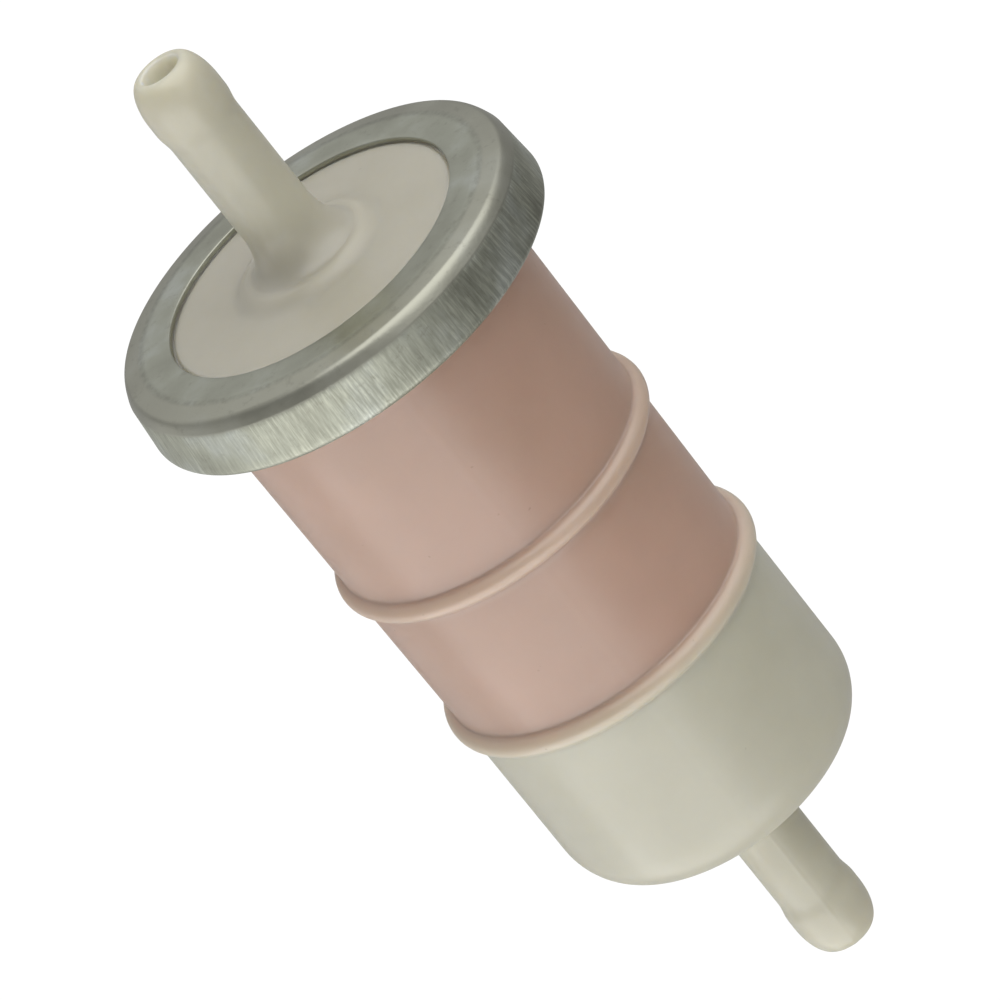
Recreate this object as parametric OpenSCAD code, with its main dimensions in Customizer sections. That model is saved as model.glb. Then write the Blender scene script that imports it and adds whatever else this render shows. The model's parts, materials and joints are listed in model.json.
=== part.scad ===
// In-line fuel filter for a small engine.
// A translucent moulded cup and its cover are held together by a thin metal ring that is
// crimped round both flanges. A pleated paper element hangs inside from the flange joint,
// and an empty bowl is left under it. A hose nozzle stands at each end.
// Everything turns about Z, with the cover at the top. Z = 0 is the underside of the lower
// bead, where a holder that is slipped up over the bowl comes to a stop.

/* [Cup] */
// Outer radius of the bowl, the straight stretch that a holder grips
bowl_r = 14.9; // [14.5:0.05:15]
// Outer radius of the cup just under the ring
neck_r = 15.2; // [15:0.05:15.4]
// Thickness of the cup's side wall
cup_wall = 1.35; // [1.2:0.05:1.4]
// Thickness of the bowl's floor
cup_floor = 1.6; // [1.2:0.1:2.2]
// Depth of the bowl from the lower bead to its outer bottom
bowl_depth = 19.4; // [16:0.1:22]
// Width of the bowl's rounded bottom corner
bowl_corner_w = 4; // [3:0.1:6]
// Height of that corner
bowl_corner_h = 4.9; // [3:0.1:6]
// How far the upper bead stands out from the cup
upper_bead_r = 0.95; // [0.7:0.05:1.2]
// How far the lower bead stands out from the cup
lower_bead_r = 1.05; // [0.7:0.05:1.2]
// Height of the middle of the upper bead
upper_bead_z = 17.8; // [15:0.1:22]

/* [Ring] */
// Outer radius of the crimped ring
ring_r = 20; // [19.8:0.1:20.5]
// Height of the ring
ring_h = 6.2; // [5.8:0.1:6.5]
// Height of the ring's top face
ring_top_z = 45.3; // [44:0.1:48]
// Radius of the opening in the ring's top
ring_opening_r = 14.2; // [13.5:0.1:15]
// Radius of the opening in the ring's rolled bottom
ring_lower_opening_r = 16.6; // [16:0.1:17.5]
// Thickness of the sheet metal
sheet = 0.4; // [0.3:0.05:0.45]
// Outer radius of the ring's rounded shoulder
shoulder_r = 1.5; // [1.2:0.1:2]
// How much wider the ring is at its bottom than at its shoulder
ring_flare = 0.35; // [0:0.05:0.4]

/* [Nozzles] */
// Outer radius of a nozzle's shaft
nozzle_r = 3.38; // [3.2:0.02:3.5]
// Outer radius of the land that grips the hose
nozzle_land_r = 3.62; // [3.56:0.02:3.8]
// Length of that land
nozzle_land = 1; // [0.8:0.1:2]
// Radius of the bore
bore_r = 1.8; // [1.5:0.1:2]
// Height of the cover nozzle's tip above the ring
cover_nozzle_h = 21.8; // [18:0.1:25]
// Length of the bowl nozzle below the bowl
bowl_nozzle_h = 19.8; // [18:0.1:24]

/* [Cover] */
// Thickness of the cover's clamped flange
cover_flange = 2.2; // [1.8:0.1:2.4]
// How far the cover's dome rises from the ring to the nozzle's foot
dome_h = 0.45; // [0.2:0.05:0.8]
// Radius at which the cover starts to rise into the foot of the nozzle
foot_r = 6.7; // [6.2:0.1:7.5]
// Height of the foot, up to where it has become the nozzle's shaft
foot_h = 4.8; // [4:0.1:5.5]

/* [Element] */
// Number of pleats
pleats = 32; // [24:1:34]
// Radius to the outer folds
pleat_outer_r = 12.4; // [12:0.1:12.4]
// Radius to the inner folds
pleat_inner_r = 5.8; // [5.8:0.1:6.4]
// Thickness of the paper
paper_t = 0.4; // [0.3:0.05:0.45]
// Outer radius of the end caps
cap_r = 13.1; // [13:0.05:13.15]
// Depth of each end cap's rim
cap_rim = 2.4; // [2:0.1:3]
// Number of holes round the core
core_holes = 8; // [6:2:10]
// Number of rows of holes in the core
core_rows = 8; // [6:1:8]

/* [Hidden] */
$fn = 96;
// Steps in a round stretch of an outline
arc_steps = 8;
// Radial clearance between the flanges and the ring that is crimped over them
crimp_gap = 0.1;
flange_r = ring_r - ring_flare - sheet - crimp_gap;
cover_top_z = ring_top_z - sheet;
joint_z = cover_top_z - cover_flange;
cup_flange_z = ring_top_z - ring_h + sheet;
lower_bead_z = lower_bead_r;
bowl_z = -bowl_depth;
bowl_tip_z = bowl_z - bowl_nozzle_h;
cover_tip_z = ring_top_z + cover_nozzle_h;
// Inner radius of the cup at the bowl and at the neck
bowl_in_r = bowl_r - cup_wall;
neck_in_r = neck_r - cup_wall;
// The element's top plate lies in a recess in the cup's flange
plate_t = 0.8;
plate_r = 16.4;
plate_seat_r = plate_r + 0.1;
cap_wall = 0.5;
core_r = 5.6;
core_wall = 0.5;
bond_t = 1.6;
// Depth to which the pleats sink into the bond
bond_grip = 1;
cap_bottom_z = 0.2;
pleat_bottom_z = cap_bottom_z + plate_t + bond_t - bond_grip;
pleat_top_z = joint_z - plate_t - bond_t + bond_grip;
// The O-ring's groove in the cup's flange
o_ring_r = 17.9;
o_ring_section_r = 0.6;
groove_w = 1.5;
// Length of the rounded end of a nozzle beyond its land, and the radius of its flat tip
nozzle_nose = 3.6;
nozzle_tip_r = 2.15;
// Length over which the land blends back into the shaft
nozzle_blend = 2;
// The foot's curve leaves the cover along this length, and meets the shaft this far below its top
foot_lead = 0.5;
foot_run = 2.4;
// Radius of the fillet where the lower nozzle meets the bowl
bowl_fillet_r = 0.6;

// Points of an oval arc about (r, z), w wide and h high, from angle a to angle b
function oval(r, z, w, h, a, b, steps = arc_steps) = [
    for (i = [0 : steps])
        let (t = a + (b - a) * i / steps)
        [r + w * cos(t), z + h * sin(t)]
];

function arc(r, z, size, a, b, steps = arc_steps) = oval(r, z, size, size, a, b, steps);

// Points of a smooth curve from a to d that leaves a towards b and arrives at d from c
function curve(a, b, c, d) = [
    for (i = [0 : 2 * arc_steps])
        let (t = i / (2 * arc_steps), u = 1 - t)
        u * u * u * a + 3 * u * u * t * b + 3 * u * t * t * c + t * t * t * d
];

// A half-round bead of a size on a wall of radius r, listed from top to bottom
function bead(r, z, size) = arc(r, z, size, 90, -90, 2 * arc_steps);

// A nozzle's outline from its shaft to its bore, for a tip at tip_z; up is 1 or -1
function nozzle_end(tip_z, up) = let (
    nose_z = tip_z - up * nozzle_nose,
    land_z = nose_z - up * nozzle_land
) concat(
    [for (i = [0 : arc_steps])
        let (t = i / arc_steps)
        [
            nozzle_r + (nozzle_land_r - nozzle_r) * (1 - cos(180 * t)) / 2,
            land_z - up * nozzle_blend * (1 - t)
        ]],
    oval(nozzle_tip_r, nose_z, nozzle_land_r - nozzle_tip_r, up * nozzle_nose, 0, 90),
    [[bore_r, tip_z]]
);

function reversed(points) = [for (i = [len(points) - 1 : -1 : 0]) points[i]];

// Outline of the pleats, whose open folds face the side that open_r is on
function star(fold_r, open_r, turn) = [
    for (i = [0 : pleats - 1])
        let (a = 360 * i / pleats + turn, b = a + 180 / pleats)
        each [
            [fold_r * cos(a) + paper_t * sin(a), fold_r * sin(a) - paper_t * cos(a)],
            [fold_r * cos(a) - paper_t * sin(a), fold_r * sin(a) + paper_t * cos(a)],
            [open_r * cos(b), open_r * sin(b)]
        ]
];

module pleat_section() {
    difference() {
        polygon(star(pleat_outer_r, pleat_inner_r + paper_t, 0));
        polygon(star(pleat_inner_r, pleat_outer_r - paper_t, 180 / pleats));
    }
}

module tube(outer_r, inner_r, from_z, to_z) {
    translate([0, 0, from_z])
        rotate_extrude()
            translate([inner_r, 0])
                square([outer_r - inner_r, to_z - from_z]);
}

// Cup with its flange, two stiffening beads, the bowl and the lower nozzle
module housing_cup() {
    color([0.87, 0.85, 0.78, 0.6])
    difference() {
        union() {
            rotate_extrude() polygon(cup_outline());
            centring_ribs();
        }
        tube(o_ring_r + groove_w / 2, o_ring_r - groove_w / 2,
            joint_z - 2 * o_ring_section_r, joint_z + 1);
    }
}

function cup_outline() = concat(
    [[plate_seat_r, joint_z - plate_t], [plate_seat_r, joint_z], [flange_r, joint_z]],
    arc(flange_r - 0.5, cup_flange_z + 0.5, 0.5, 0, -90, 4),
    [[neck_r, cup_flange_z]],
    bead(wall_r(upper_bead_z), upper_bead_z, upper_bead_r),
    bead(bowl_r, lower_bead_z, lower_bead_r),
    oval(bowl_r - bowl_corner_w, bowl_z + bowl_corner_h, bowl_corner_w, bowl_corner_h, 0, -90, 12),
    reversed(arc(nozzle_r + bowl_fillet_r, bowl_z - bowl_fillet_r, bowl_fillet_r, 180, 90, 4)),
    nozzle_end(bowl_tip_z, -1),
    [[bore_r, bowl_z + cup_floor]],
    oval(bowl_r - bowl_corner_w, bowl_z + bowl_corner_h, bowl_corner_w - cup_wall,
        bowl_corner_h - cup_floor, -90, 0),
    [[bowl_in_r, lower_bead_z], [neck_in_r, joint_z - plate_t]]
);

// Outer radius of the tapered wall at height z
function wall_r(z) =
    bowl_r + (neck_r - bowl_r) * (z - lower_bead_z) / (cup_flange_z - lower_bead_z);

// Six low ribs in the cup that keep the element's bottom cap central
module centring_ribs() {
    rib_w = 1;
    rib_h = 4;
    rib_in_r = cap_r + 0.1;
    for (i = [0 : 5])
        rotate(60 * i + 30)
            translate([rib_in_r, -rib_w / 2, -1])
                cube([bowl_in_r - rib_in_r + cup_wall / 2, rib_w, rib_h]);
}

// Cover with its flange, shallow dome and the upper nozzle on its flared foot
module cover() {
    color([0.87, 0.85, 0.79, 0.7])
    rotate_extrude() polygon(cover_outline());
}

function cover_outline() = let (
    dome_z = cover_top_z + dome_h,
    foot_top_z = dome_z + foot_h,
    inner_top_z = cover_top_z - cover_flange / 2,
    inner_shoulder_r = shoulder_r - sheet
) concat(
    [[bore_r, inner_top_z], [ring_opening_r - 2, inner_top_z], [ring_opening_r - 1, joint_z]],
    [[flange_r, joint_z]],
    arc(flange_r - inner_shoulder_r, cover_top_z - inner_shoulder_r, inner_shoulder_r, 0, 90),
    // Dome, a sine rise from the ring's opening to the foot
    [for (i = [0 : arc_steps])
        let (t = i / arc_steps)
        [
            ring_opening_r + (foot_r - ring_opening_r) * t,
            cover_top_z + dome_h * sin(90 * t)
        ]],
    curve([foot_r, dome_z], [foot_r - foot_lead, dome_z],
        [nozzle_r, foot_top_z - foot_run], [nozzle_r, foot_top_z]),
    nozzle_end(cover_tip_z, 1)
);

// Sheet-metal ring, rolled inward under the cup's flange
module crimp_ring() {
    color([0.62, 0.64, 0.6])
    rotate_extrude() polygon(ring_outline());
}

function ring_outline() = let (
    bottom_z = ring_top_z - ring_h,
    roll_r = 0.8,
    top_c = [ring_r - ring_flare - shoulder_r, ring_top_z - shoulder_r],
    low_c = [ring_r - roll_r, bottom_z + roll_r]
) concat(
    [[ring_opening_r, ring_top_z]],
    arc(top_c[0], top_c[1], shoulder_r, 90, 0),
    arc(low_c[0], low_c[1], roll_r, 0, -90, 6),
    [[ring_lower_opening_r, bottom_z], [ring_lower_opening_r, bottom_z + sheet]],
    arc(low_c[0], low_c[1], roll_r - sheet, -90, 0, 6),
    arc(top_c[0], top_c[1], shoulder_r - sheet, 0, 90),
    [[ring_opening_r, ring_top_z - sheet]]
);

// Rubber ring in the flange joint
module flange_o_ring() {
    color([0.12, 0.12, 0.12])
    translate([0, 0, joint_z - o_ring_section_r])
        rotate_extrude()
            translate([o_ring_r, 0])
                circle(r = o_ring_section_r, $fn = 48);
}

// Plate that closes the element's top and is clamped between the cup and the cover
module element_top_plate() {
    color([0.9, 0.89, 0.85])
    union() {
        tube(plate_r, core_r - core_wall, joint_z - plate_t, joint_z);
        tube(cap_r, cap_r - cap_wall, joint_z - plate_t - cap_rim, joint_z - plate_t);
    }
}

// Adhesive that seals the pleats to the top plate
module element_top_bond() {
    color([0.8, 0.7, 0.45])
    difference() {
        tube(cap_r - cap_wall, core_r, joint_z - plate_t - bond_t, joint_z - plate_t);
        pleats_solid();
    }
}

module pleats_solid() {
    translate([0, 0, pleat_bottom_z])
        linear_extrude(pleat_top_z - pleat_bottom_z)
            pleat_section();
}

// Pleated filter paper
module element_paper() {
    color([0.85, 0.55, 0.5])
    pleats_solid();
}

// Folded strip that grips the two ends of the paper at one fold
module element_seam_clip() {
    clip_t = 0.25;
    clip_depth = 2;
    clip_half_w = paper_t + 0.08;
    color([0.7, 0.72, 0.72])
    translate([pleat_outer_r - clip_depth, -clip_half_w - clip_t, seam_bottom_z])
        difference() {
            cube([clip_depth + 0.05 + clip_t, 2 * (clip_half_w + clip_t), seam_top_z - seam_bottom_z]);
            translate([-1, clip_t, -1])
                cube([clip_depth + 1.05, 2 * clip_half_w, seam_top_z - seam_bottom_z + 2]);
        }
}
seam_bottom_z = cap_bottom_z + plate_t + cap_rim + 0.4;
seam_top_z = joint_z - plate_t - cap_rim - 0.4;

// Perforated tube that holds the inner folds
module element_core() {
    core_bottom_z = cap_bottom_z + plate_t;
    core_top_z = joint_z - plate_t;
    hole_r = 1.1;
    first_row_z = core_bottom_z + 4.5;
    row_step = (core_top_z - core_bottom_z - 9) / (core_rows - 1);
    color([0.88, 0.87, 0.84])
    difference() {
        tube(core_r, core_r - core_wall, core_bottom_z, core_top_z);
        for (row = [0 : core_rows - 1], i = [0 : core_holes - 1])
            rotate((i + (row % 2) / 2) * 360 / core_holes)
                translate([core_r - 2 * core_wall, 0, first_row_z + row * row_step])
                    rotate([0, 90, 0])
                        cylinder(r = hole_r, h = 3 * core_wall, $fn = 24);
    }
}

// Adhesive that seals the pleats to the bottom cap
module element_bottom_bond() {
    color([0.8, 0.7, 0.45])
    difference() {
        tube(cap_r - cap_wall, core_r, cap_bottom_z + plate_t, cap_bottom_z + plate_t + bond_t);
        pleats_solid();
    }
}

// Closed cap under the element, with an upturned rim
module element_bottom_cap() {
    color([0.9, 0.89, 0.85])
    union() {
        translate([0, 0, cap_bottom_z])
            cylinder(r = cap_r, h = plate_t);
        tube(cap_r, cap_r - cap_wall, cap_bottom_z + plate_t, cap_bottom_z + plate_t + cap_rim);
    }
}

housing_cup();
cover();
crimp_ring();
flange_o_ring();
element_top_plate();
element_top_bond();
element_paper();
element_seam_clip();
element_core();
element_bottom_bond();
element_bottom_cap();
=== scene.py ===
# %% [markdown]
# # An in-line fuel filter
#
# The filter is a milky nylon cup and cover, held together by a thin plated ring that is
# crimped round both flanges. A pleated pink paper element hangs inside. Almost every piece
# is turned about one axis, so the lesson is mostly about good outlines, about one small
# node tree that turns them, and about materials that look like moulded nylon and dull
# plating instead of like clean computer surfaces.

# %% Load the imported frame
import json
import math
import bmesh
import bpy
import numpy as np
from mathutils import Matrix, Vector


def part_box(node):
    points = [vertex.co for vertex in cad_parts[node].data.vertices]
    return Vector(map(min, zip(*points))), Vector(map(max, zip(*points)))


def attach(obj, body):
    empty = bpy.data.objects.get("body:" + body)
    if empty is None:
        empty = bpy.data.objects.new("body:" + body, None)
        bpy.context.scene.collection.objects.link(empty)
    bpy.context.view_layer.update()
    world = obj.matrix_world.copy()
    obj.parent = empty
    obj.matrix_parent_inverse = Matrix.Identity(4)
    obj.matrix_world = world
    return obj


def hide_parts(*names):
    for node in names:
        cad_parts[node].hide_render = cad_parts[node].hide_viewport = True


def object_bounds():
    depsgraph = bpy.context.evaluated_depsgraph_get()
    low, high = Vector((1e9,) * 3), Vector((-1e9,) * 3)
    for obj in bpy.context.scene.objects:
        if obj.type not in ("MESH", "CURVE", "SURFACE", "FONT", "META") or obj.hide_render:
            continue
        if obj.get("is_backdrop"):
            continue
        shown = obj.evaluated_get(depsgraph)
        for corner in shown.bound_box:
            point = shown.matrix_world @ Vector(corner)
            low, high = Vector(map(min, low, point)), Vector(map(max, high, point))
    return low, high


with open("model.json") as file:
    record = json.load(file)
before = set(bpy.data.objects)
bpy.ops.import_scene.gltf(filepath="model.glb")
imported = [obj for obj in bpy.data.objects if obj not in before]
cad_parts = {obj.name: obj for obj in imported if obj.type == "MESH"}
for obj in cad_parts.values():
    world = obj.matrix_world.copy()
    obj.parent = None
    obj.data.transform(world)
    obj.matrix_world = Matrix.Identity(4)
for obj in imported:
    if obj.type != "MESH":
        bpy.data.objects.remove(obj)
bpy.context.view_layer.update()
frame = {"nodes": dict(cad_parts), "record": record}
nodes = frame["nodes"]
mounts = {mount["name"]: mount for mount in frame["record"]["mounts"]}
print("CAD nodes:", sorted(nodes))

# %% [markdown]
# ## Sizes
#
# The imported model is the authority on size. What it can tell is read from it: the boxes of
# its nodes and the radii of its mounts. The rest, such as a bead's radius, is a named value
# in millimetres. Everything is turned into metres only when a mesh is made.

# %% Read the driving sizes from the frame
MM = 0.001


def box_mm(node):
    """The lowest and highest corner of a CAD node, in millimetres."""
    low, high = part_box(node)
    return [c / MM for c in low], [c / MM for c in high]


ring_low, ring_high = box_mm("crimp_ring")
cup_low, cup_high = box_mm("housing_cup")
cover_low, cover_high = box_mm("cover")
ring_r, ring_top, ring_bottom = ring_high[0], ring_high[2], ring_low[2]
joint_z, cup_tip = cup_high[2], cup_low[2]
cover_tip, flange_r = cover_high[2], cover_high[0]
bowl_r = mounts["bowl_seat"]["dims"]["r_mm"]
land_r = mounts["cover_nozzle"]["dims"]["r_mm"]
bore_r = mounts["cover_bore"]["dims"]["r_mm"]
sheet = 0.4
cover_top = ring_top - sheet
cup_flange_z = ring_bottom + sheet
print(f"ring {2 * ring_r:.1f} across, filter {cover_tip - cup_tip:.1f} long")

# %% [markdown]
# ## A lathe made of nodes
#
# A turned piece is an outline swept round an axis. Blender has a Screw modifier and a Spin
# tool for this, but a small Geometry Nodes tree does it with named inputs and always closes
# the seam: the outline becomes a curve, a circle becomes the path, and Curve to Mesh sweeps
# one along the other. Curve to Mesh lays the outline's first axis along the circle's radius
# and its second one downwards, so an outline point at radius r and height z is written as
# (r, -z). A second input raises a hair-thin ridge where two halves of a mould would meet.

# %% Build the turning tree
def feed(tree, socket, value):
    """Links another node's output into an input, or sets the input to a plain value."""
    if isinstance(value, bpy.types.NodeSocket):
        tree.links.new(value, socket)
    elif value is not None:
        socket.default_value = value


def add_node(tree, kind, settings=None, **inputs):
    """Adds a node, sets its own properties and then its named inputs."""
    node = tree.nodes.new(kind)
    for key, value in (settings or {}).items():
        setattr(node, key, value)
    for key, value in inputs.items():
        name = key.replace("_", " ")
        feed(tree, next(s for s in node.inputs if s.name == name and s.enabled), value)
    return node


def math_node(tree, operation, a, b=None, c=None):
    """A Math node on sockets or plain numbers; returns its output."""
    node = tree.nodes.new("ShaderNodeMath")
    node.operation = operation
    for socket, value in zip(node.inputs, (a, b, c)):
        feed(tree, socket, value)
    return node.outputs[0]


def vector_node(tree, operation, a, b=None):
    """A Vector Math node; returns a number for a dot product or a length, else a vector."""
    node = tree.nodes.new("ShaderNodeVectorMath")
    node.operation = operation
    for socket, value in zip(node.inputs, (a, b)):
        feed(tree, socket, value)
    return node.outputs["Value" if operation in ("DOT_PRODUCT", "LENGTH") else "Vector"]


def scaled(tree, vector, factor):
    """The vector times a number."""
    node = add_node(tree, "ShaderNodeVectorMath", {"operation": "SCALE"}, Vector=vector,
                    Scale=factor)
    return node.outputs["Vector"]


def new_tree(name, inputs):
    """A Geometry Nodes tree with one geometry in and out and the named inputs."""
    tree = bpy.data.node_groups.new(name, "GeometryNodeTree")
    face = tree.interface
    face.new_socket("Geometry", in_out="INPUT", socket_type="NodeSocketGeometry")
    sockets = {}
    for title, kind in inputs.items():
        sockets[title] = face.new_socket(title, in_out="INPUT", socket_type="NodeSocket" + kind)
    face.new_socket("Geometry", in_out="OUTPUT", socket_type="NodeSocketGeometry")
    start = tree.nodes.new("NodeGroupInput").outputs
    return tree, start, {title: socket.identifier for title, socket in sockets.items()}


def finish_tree(tree, geometry, material):
    """Ends a tree the way the export needs: real geometry that carries its material."""
    real = add_node(tree, "GeometryNodeRealizeInstances", Geometry=geometry)
    dressed = add_node(tree, "GeometryNodeSetMaterial", Geometry=real.outputs[0],
                       Material=material)
    smooth = add_node(tree, "GeometryNodeSetShadeSmooth", Geometry=dressed.outputs[0])
    end = tree.nodes.new("NodeGroupOutput")
    tree.links.new(smooth.outputs[0], end.inputs[0])


def turning_tree():
    """Sweeps an outline round the axis."""
    tree, start, names = new_tree("Turn on the axis", {
        "Steps round": "Int", "Ridge": "Float", "Ridge half width": "Float",
        "Material": "Material"})
    path_r, parting = 0.1, math.radians(4)
    outline = add_node(tree, "GeometryNodeMeshToCurve", Mesh=start["Geometry"])
    moved = add_node(tree, "GeometryNodeTransform", Geometry=outline.outputs[0],
                     Translation=(-path_r, 0, 0))
    path = add_node(tree, "GeometryNodeCurvePrimitiveCircle", Resolution=start["Steps round"],
                    Radius=path_r)
    turned = add_node(tree, "GeometryNodeCurveToMesh", Curve=path.outputs[0],
                      Profile_Curve=moved.outputs[0])
    place = add_node(tree, "GeometryNodeInputPosition").outputs[0]
    across = vector_node(tree, "DOT_PRODUCT", place, (math.cos(parting), -math.sin(parting), 0))
    share = math_node(tree, "DIVIDE", math_node(tree, "ABSOLUTE", across),
                      start["Ridge half width"])
    height = math_node(tree, "MAXIMUM", math_node(tree, "SUBTRACT", 1.0, share), 0.0)
    lift = math_node(tree, "MULTIPLY", height, start["Ridge"])
    outward = vector_node(tree, "NORMALIZE", vector_node(tree, "MULTIPLY", place, (1, 1, 0)))
    ridged = add_node(tree, "GeometryNodeSetPosition", Geometry=turned.outputs[0],
                      Offset=scaled(tree, outward, lift))
    finish_tree(tree, ridged.outputs[0], start["Material"])
    return tree, names


turn_tree, turn_inputs = turning_tree()
print("turning tree inputs:", list(turn_inputs))

# %% [markdown]
# The tree is worn as a modifier only for a moment. `bake` evaluates it, keeps the result as
# a plain mesh and drops the modifier, because pieces are handed on as plain meshes. It also
# merges points that coincide, drops the loose edges that a Boolean can leave behind, turns
# every face outward and marks edges that are really sharp, so that smooth shading stays
# crisp there.

# %% Turn an outline into a finished piece
def bake(piece, tree, names, values, sharp_deg=38):
    """Evaluates a node tree on the piece and keeps the result as its plain mesh."""
    modifier = piece.modifiers.new(tree.name, "NODES")
    modifier.node_group = tree
    for title, value in values.items():
        modifier[names[title]] = value
    depsgraph = bpy.context.evaluated_depsgraph_get()
    mesh = bpy.data.meshes.new_from_object(piece.evaluated_get(depsgraph), depsgraph=depsgraph)
    piece.modifiers.remove(modifier)
    piece.data = mesh
    mesh.name = piece.name
    tidy_mesh(mesh, sharp_deg)
    return piece


def tidy_mesh(mesh, sharp_deg):
    """Merges doubles, drops loose edges, points the faces outward and marks sharp edges."""
    work = bmesh.new()
    work.from_mesh(mesh)
    bmesh.ops.remove_doubles(work, verts=work.verts, dist=1e-7)
    loose = [edge for edge in work.edges if not edge.link_faces]
    bmesh.ops.delete(work, geom=loose, context="EDGES")
    bmesh.ops.recalc_face_normals(work, faces=work.faces)
    limit = math.radians(sharp_deg)
    for edge in work.edges:
        edge.smooth = len(edge.link_faces) == 2 and edge.calc_face_angle() < limit
    for face in work.faces:
        face.smooth = True
    work.to_mesh(mesh)
    work.free()


def outline_piece(name, outline_mm):
    """An object that holds a closed outline of (radius, height) points in millimetres."""
    mesh = bpy.data.meshes.new(name)
    points = [(r * MM, -z * MM, 0) for r, z in outline_mm]
    edges = [(i, (i + 1) % len(points)) for i in range(len(points))]
    mesh.from_pydata(points, edges, [])
    piece = bpy.data.objects.new(name, mesh)
    bpy.context.scene.collection.objects.link(piece)
    return piece


def turned_piece(name, outline_mm, material, steps_round, ridge_mm=0.0):
    """A piece turned from its outline."""
    piece = outline_piece(name, outline_mm)
    bake(piece, turn_tree, turn_inputs, {
        "Steps round": steps_round, "Ridge": ridge_mm * MM, "Ridge half width": 0.3 * MM,
        "Material": material})
    return piece


# %% [markdown]
# Outlines are written from a few helpers: an oval arc, an S-shaped step, a smooth curve with
# two handles, a half-round bead with its fillets, and the end of a hose nozzle, which both
# mouldings share. Round stretches come from a formula, so the number of steps in each can be
# changed without drawing the shape again.

# %% Helpers for outlines
def oval(r, z, w, h, start_deg, end_deg, steps=10):
    """Points of an oval arc about (r, z)."""
    angles = np.radians(np.linspace(start_deg, end_deg, steps + 1))
    return [(r + w * math.cos(a), z + h * math.sin(a)) for a in angles]


def arc(r, z, size, start_deg, end_deg, steps=10):
    """Points of a round arc about (r, z)."""
    return oval(r, z, size, size, start_deg, end_deg, steps)


def s_step(start, end, steps=10):
    """A soft step between two points, level at both ends."""
    shares = np.linspace(0, 1, steps + 1)
    return [(start[0] + (end[0] - start[0]) * t,
             start[1] + (end[1] - start[1]) * (1 - math.cos(math.pi * t)) / 2) for t in shares]


def straight(start, end, steps):
    """Points along a straight stretch, so that long faces are cut into short ones."""
    shares = np.linspace(0, 1, steps + 1)
    return [(start[0] + (end[0] - start[0]) * t, start[1] + (end[1] - start[1]) * t)
            for t in shares]


def curve(a, b, c, d, steps=24):
    """Points of a smooth curve from a to d that leaves a towards b and comes to d from c."""
    points = []
    for t in np.linspace(0, 1, steps + 1):
        shares = ((1 - t) ** 3, 3 * (1 - t) ** 2 * t, 3 * (1 - t) * t ** 2, t ** 3)
        points.append(tuple(sum(k * p[i] for k, p in zip(shares, (a, b, c, d))) for i in (0, 1)))
    return points


def bead(wall_r, z, size, upper_foot, lower_foot):
    """A half-round bead with a fillet at each foot, from top to bottom."""
    up = math.sqrt((size + upper_foot) ** 2 - upper_foot ** 2)
    down = math.sqrt((size + lower_foot) ** 2 - lower_foot ** 2)
    up_turn = math.degrees(math.atan2(up, upper_foot))
    down_turn = math.degrees(math.atan2(down, lower_foot))
    top = arc(wall_r + upper_foot, z + up, upper_foot, 180, 180 + up_turn, 5)
    crown = arc(wall_r, z, size, up_turn, -down_turn, 18)
    low = arc(wall_r + lower_foot, z - down, lower_foot, 180 - down_turn, 180, 6)
    return top + crown[1:-1] + low


def nozzle_end(tip_z, up):
    """The nozzle's outline from its shaft over the land to the tip and into the bore."""
    nose_z = tip_z - up * nose_length
    land_z = nose_z - up * land_length
    rise = s_step((0, 0), (land_blend, land_r - shaft_r), 12)
    blend = [(shaft_r + lift, land_z - up * (land_blend - along)) for along, lift in rise]
    nose = oval(tip_r, nose_z, land_r - tip_r, up * nose_length, 0, 90, 16)
    lip = oval(bore_r + lip_r, tip_z - up * lip_r, lip_r, up * lip_r, 90, 180, 5)
    return blend + nose + lip


shaft_r = 3.38
land_length, land_blend = 1.0, 2.0
nose_length, tip_r = 3.6, 2.15
lip_r = 0.25
print(len(nozzle_end(cover_tip, 1)), "points round a nozzle's end")

# %% [markdown]
# ## The cup
#
# One moulding: a flange that the ring grips, a slightly tapered wall with two half-round
# beads, a bowl with a wide rounded corner, and the lower hose nozzle. Its outline runs down
# the outside, round the nozzle's tip and back up the inside, so the turned piece is a closed
# wall of the real thickness.

# %% Outline of the cup
neck_r = 15.2
wall = 1.35
upper_bead_size, lower_bead_size = 0.95, 1.05
lower_bead_z, upper_bead_z = lower_bead_size, 17.8
bowl_bottom = cup_tip + 19.8
corner_w, corner_h = 4.0, 4.9
bowl_floor = 1.6
flange_round, neck_fillet, shaft_fillet = 0.5, 0.4, 0.6
bead_top_fillet, upper_bead_fillet, lower_bead_fillet = 0.25, 0.7, 1.0
plate_seat_r, plate_seat_depth = 16.5, 0.8
groove_in_r, groove_out_r, groove_depth = 17.15, 18.65, 1.2


def wall_at(z):
    """Outer radius of the cup's tapered wall."""
    share = (z - lower_bead_z) / (cup_flange_z - lower_bead_z)
    return bowl_r + (neck_r - bowl_r) * share


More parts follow.
